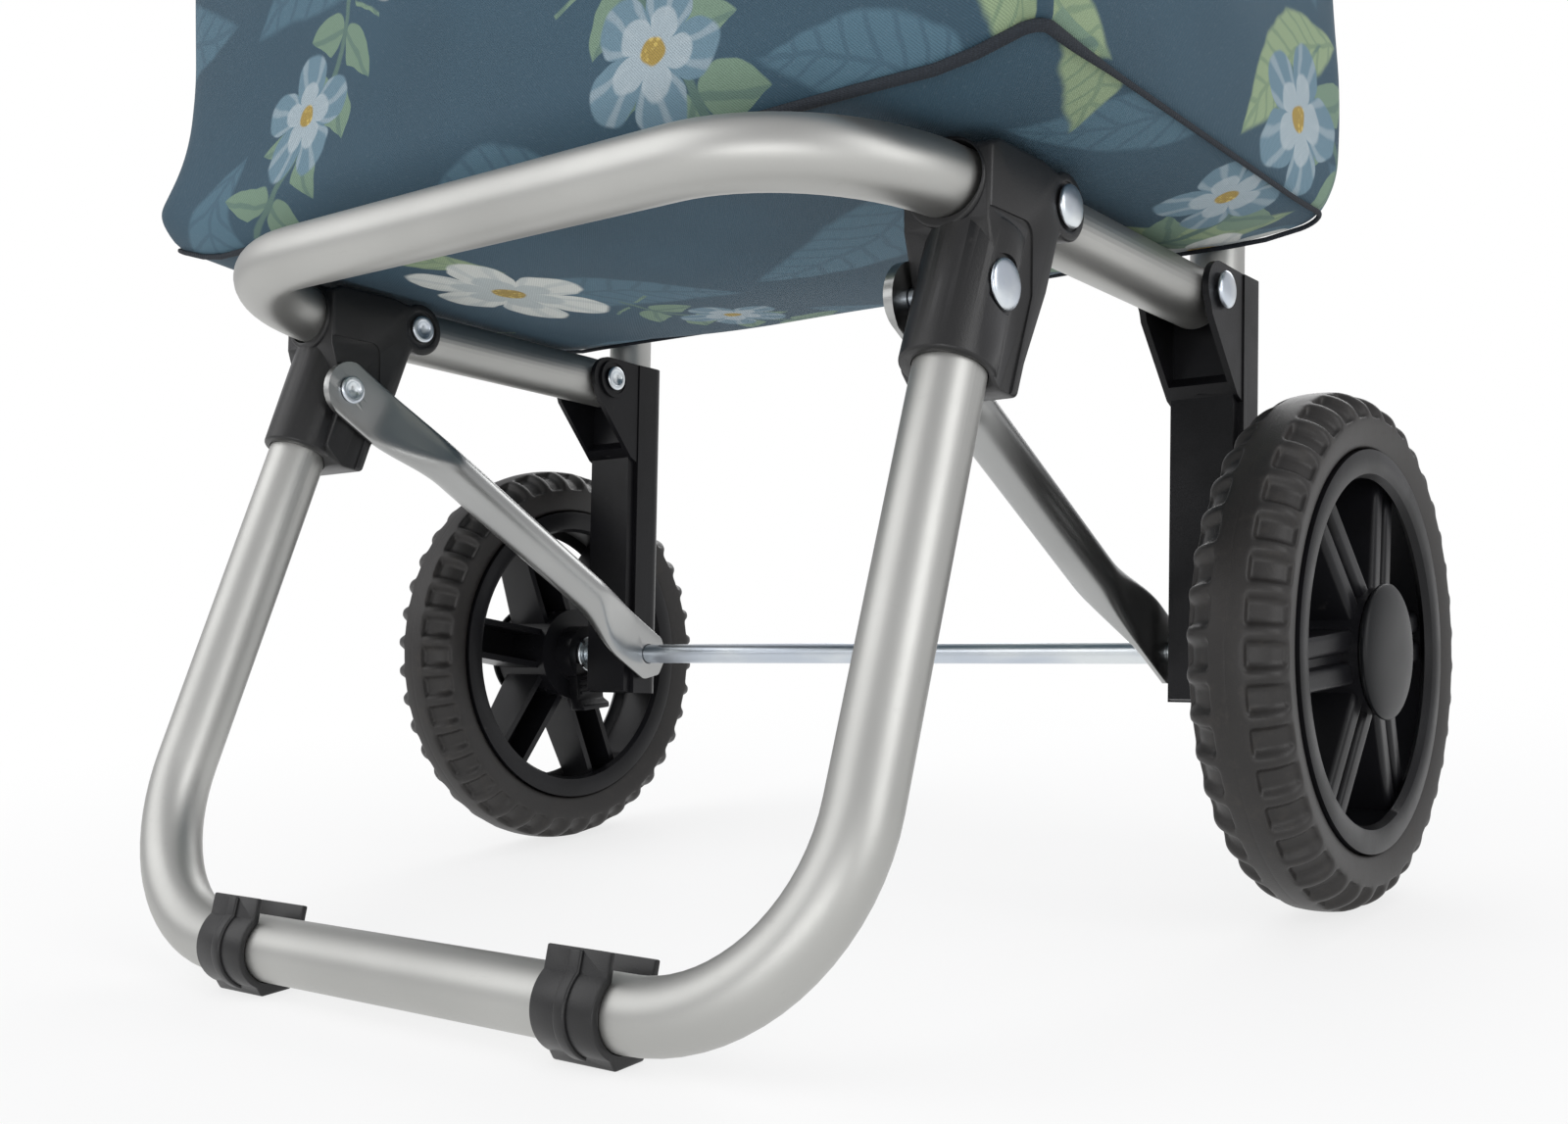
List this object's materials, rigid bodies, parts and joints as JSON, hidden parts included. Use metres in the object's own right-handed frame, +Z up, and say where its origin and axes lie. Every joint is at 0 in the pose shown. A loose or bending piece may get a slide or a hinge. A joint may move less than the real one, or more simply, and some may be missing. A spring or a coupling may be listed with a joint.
{
  "type": "shopping trolley",
  "caption": "Two-wheeled shopping trolley: leaning tube frame, folding front platform with foot loop, fabric bag with lid and bent handle.",
  "frame": {"origin": "on the floor, under the middle of the whole box", "axes": "+Z up; the trolley faces -Y, its handle is at +Y, and its left side is at -X"},
  "size_m": [0.4068, 0.4472, 0.9826],
  "materials": {
    "satin_tube": "satin silver tube",
    "zinc_steel": "zinc plated, semi-gloss",
    "black_plastic": "moulded, fine satin grain",
    "cap_plastic": "smooth satin",
    "tyre_rubber": "matt moulded rubber",
    "grip_foam": "matt",
    "bag_fabric": "woven polyester with a printed botanical pattern"
  },
  "bodies": {
    "chassis": {"wheel_leg_right": "black_plastic", "wheel_leg_left": "black_plastic", "handle_tube": "satin_tube", "handle_grip": "grip_foam", "axle_rod": "zinc_steel", "axle_collar_right": "zinc_steel", "axle_collar_left": "zinc_steel", "axle_washer_right": "zinc_steel", "axle_washer_left": "zinc_steel", "leg_rivet_right": "zinc_steel", "leg_rivet_left": "zinc_steel", "bag_base": "bag_fabric", "bag_body": "bag_fabric", "bag_loop_right": "bag_fabric", "bag_loop_left": "bag_fabric"},
    "side_frame": {"side_tube_left": "satin_tube", "side_tube_right": "satin_tube"},
    "platform": {"platform_connector_left": "black_plastic", "platform_connector_right": "black_plastic", "platform_loop": "satin_tube", "foot_loop": "satin_tube", "foot_clip_left": "black_plastic", "foot_clip_right": "black_plastic", "ear_rivet_left": "zinc_steel", "ear_rivet_right": "zinc_steel", "strut_rivet_left": "zinc_steel", "strut_rivet_right": "zinc_steel"},
    "struts": {"strut_left": "satin_tube", "strut_right": "satin_tube", "strut_rivet_end_left": "zinc_steel", "strut_rivet_end_right": "zinc_steel"},
    "wheel_left": {"wheel_rim_left": "black_plastic", "tyre_left": "tyre_rubber", "hub_cap_left": "cap_plastic"},
    "wheel_right": {"wheel_rim_right": "black_plastic", "tyre_right": "tyre_rubber", "hub_cap_right": "cap_plastic"},
    "latch_left": {"wheel_latch_left": "black_plastic"},
    "latch_right": {"wheel_latch_right": "black_plastic"},
    "lid": {"bag_lid": "bag_fabric"}
  },
  "joints": [
    {"name": "platform_fold", "type": "hinge", "parent": "chassis", "child": "side_frame", "pos_m": [0, 0.01988, 0.20078], "axis": [-1, 0, 0], "range_deg": [0, 55], "deforming": ["bag_base"]},
    {"name": "connector_swing", "type": "hinge", "parent": "side_frame", "child": "platform", "pos_m": [0, -0.0842, 0.21547], "axis": [-1, 0, 0], "range_deg": [-93, 0]},
    {"name": "strut_swing", "type": "hinge", "parent": "chassis", "child": "struts", "pos_m": [0, 0.02642, 0.0825], "axis": [-1, 0, 0], "range_deg": [0, 32]},
    {"name": "wheel_spin_right", "type": "hinge", "parent": "chassis", "child": "wheel_right", "pos_m": [0.1777, 0.02642, 0.0825], "axis": [1, 0, 0], "continuous": true},
    {"name": "wheel_spin_left", "type": "hinge", "parent": "chassis", "child": "wheel_left", "pos_m": [-0.1777, 0.02642, 0.0825], "axis": [1, 0, 0], "continuous": true},
    {"name": "latch_press_right", "type": "slide", "parent": "wheel_right", "child": "latch_right", "axis": [0, 0, 1], "range_m": [0, 0.003], "stiffness_N_per_m": 400},
    {"name": "latch_press_left", "type": "slide", "parent": "wheel_left", "child": "latch_left", "axis": [0, 0, 1], "range_m": [0, 0.003], "stiffness_N_per_m": 400},
    {"name": "lid_hinge", "type": "hinge", "parent": "chassis", "child": "lid", "pos_m": [0, 0.10208, 0.77172], "axis": [-1, 0, 0], "range_deg": [0, 85]}
  ],
  "couplings": [
    {"joint": "connector_swing", "follows": "platform_fold", "ratio": -1.6835},
    {"joint": "strut_swing", "follows": "platform_fold", "ratio": 0.57414}
  ]
}
